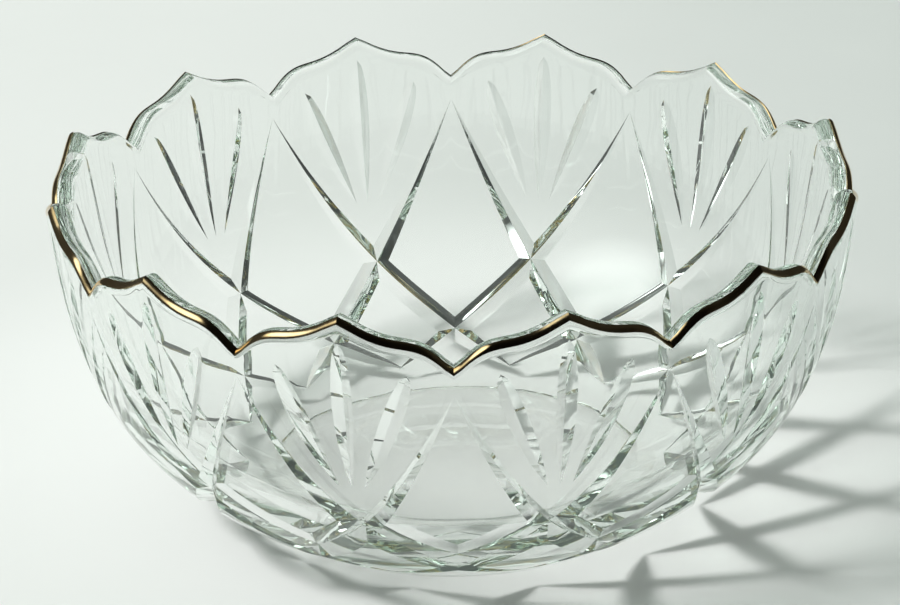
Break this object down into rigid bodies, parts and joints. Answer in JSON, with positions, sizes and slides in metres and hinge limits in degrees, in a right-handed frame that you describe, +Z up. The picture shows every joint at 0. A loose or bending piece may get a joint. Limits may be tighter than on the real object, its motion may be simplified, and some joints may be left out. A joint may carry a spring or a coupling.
{
  "type": "bowl",
  "caption": "Clear crystal serving bowl with a scalloped rim edged in gold, crossing mitre cuts and fans of spindle cuts round its sides, and a flat foot.",
  "frame": {"origin": "centre of the foot, on the plane that the bowl rests on", "axes": "+Z up along the bowl's axis; a notch of the scalloped rim faces -Y, towards the picture's camera, and +X is to its right"},
  "size_m": [0.2086, 0.2086, 0.0934],
  "materials": {
    "crystal": "clear, fire-polished, cuts polished bright",
    "gold": "thin bright gold, brushed on and fired"
  },
  "bodies": {
    "root": {"glass_bowl": "crystal", "gold_rim": "gold"}
  },
  "joints": []
}
